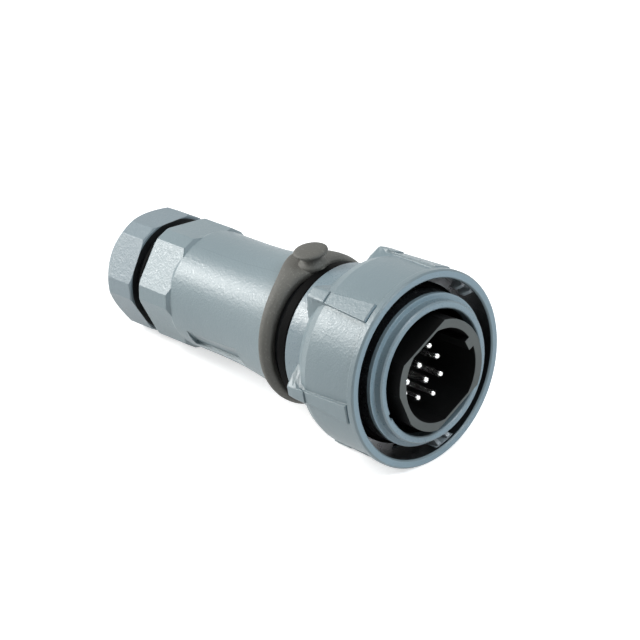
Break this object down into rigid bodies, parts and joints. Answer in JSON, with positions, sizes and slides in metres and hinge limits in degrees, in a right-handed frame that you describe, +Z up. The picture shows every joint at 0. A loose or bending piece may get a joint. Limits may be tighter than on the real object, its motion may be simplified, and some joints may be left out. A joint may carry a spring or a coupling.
{
  "type": "push-pull circular connector",
  "caption": "Push-pull circular cable connector with pin contacts, a ribbed sliding coupling ring, a strap ring with a stud and a hexagonal cable gland nut.",
  "frame": {"origin": "centre of the coupling ring's front rim, on the connector's axis", "axes": "+X along the axis toward the mating face, +Z up with a flat of the gland nut and the wide side pockets below"},
  "size_m": [0.0936, 0.0424, 0.042],
  "materials": {
    "ring_plastic": "satin, fine texture",
    "shell_plastic": "satin",
    "body_plastic": "satin, fine texture",
    "nut_plastic": "satin, fine texture",
    "latch_plastic": "satin",
    "insert_plastic": "dull",
    "lock_plastic": "dull",
    "retainer_plastic": "dull",
    "cage_plastic": "dull",
    "seal_rubber": "dull",
    "grommet_rubber": "dull",
    "strap_rubber": "dull, fine texture",
    "spring_steel": "bright",
    "contact_metal": "silver plated, bright"
  },
  "bodies": {
    "front": {"front_shell": "shell_plastic", "interface_seal": "seal_rubber", "contact_insert": "insert_plastic", "insert_shroud": "insert_plastic", "insert_lock_ring": "lock_plastic", "contact_1": "contact_metal", "contact_2": "contact_metal", "contact_3": "contact_metal", "contact_4": "contact_metal", "contact_5": "contact_metal", "contact_6": "contact_metal", "contact_7": "contact_metal", "contact_8": "contact_metal", "contact_9": "contact_metal", "earth_contact": "contact_metal", "contact_retainer": "retainer_plastic", "ring_spring": "spring_steel"},
    "coupling": {"coupling_ring": "ring_plastic", "spring_seat": "spring_steel", "ring_circlip": "spring_steel", "latch_1": "latch_plastic", "latch_2": "latch_plastic", "latch_3": "latch_plastic"},
    "gasket": {"body_gasket": "seal_rubber"},
    "backshell": {"rear_body": "body_plastic", "gland_seal": "seal_rubber"},
    "strap": {"strap_ring": "strap_rubber"},
    "clamp": {"clamp_cage": "cage_plastic", "cable_grommet": "grommet_rubber"},
    "nut": {"gland_nut": "nut_plastic"}
  },
  "joints": [
    {"name": "ring_pull", "type": "slide", "parent": "front", "child": "coupling", "axis": [1, 0, 0], "range_m": [-0.004, 0], "stiffness_N_per_m": 1200, "springref_m": 0.003, "deforming": ["ring_spring"]},
    {"name": "body_advance", "type": "slide", "parent": "front", "child": "gasket", "axis": [1, 0, 0], "range_m": [-0.006, 0]},
    {"name": "body_turn", "type": "hinge", "parent": "gasket", "child": "backshell", "pos_m": [-0.03, 0, 0], "axis": [1, 0, 0], "range_deg": [-1440, 0]},
    {"name": "strap_turn", "type": "hinge", "parent": "backshell", "child": "strap", "pos_m": [-0.031, 0, 0], "axis": [1, 0, 0], "continuous": true},
    {"name": "clamp_advance", "type": "slide", "parent": "backshell", "child": "clamp", "axis": [1, 0, 0], "range_m": [-0.0045, 0.0012]},
    {"name": "nut_turn", "type": "hinge", "parent": "clamp", "child": "nut", "pos_m": [-0.082, 0, 0], "axis": [1, 0, 0], "range_deg": [-1080, 288]}
  ],
  "couplings": [
    {"joint": "body_advance", "follows": "body_turn", "m_per_rad": 0.00023873},
    {"joint": "clamp_advance", "follows": "nut_turn", "m_per_rad": 0.00023873}
  ]
}
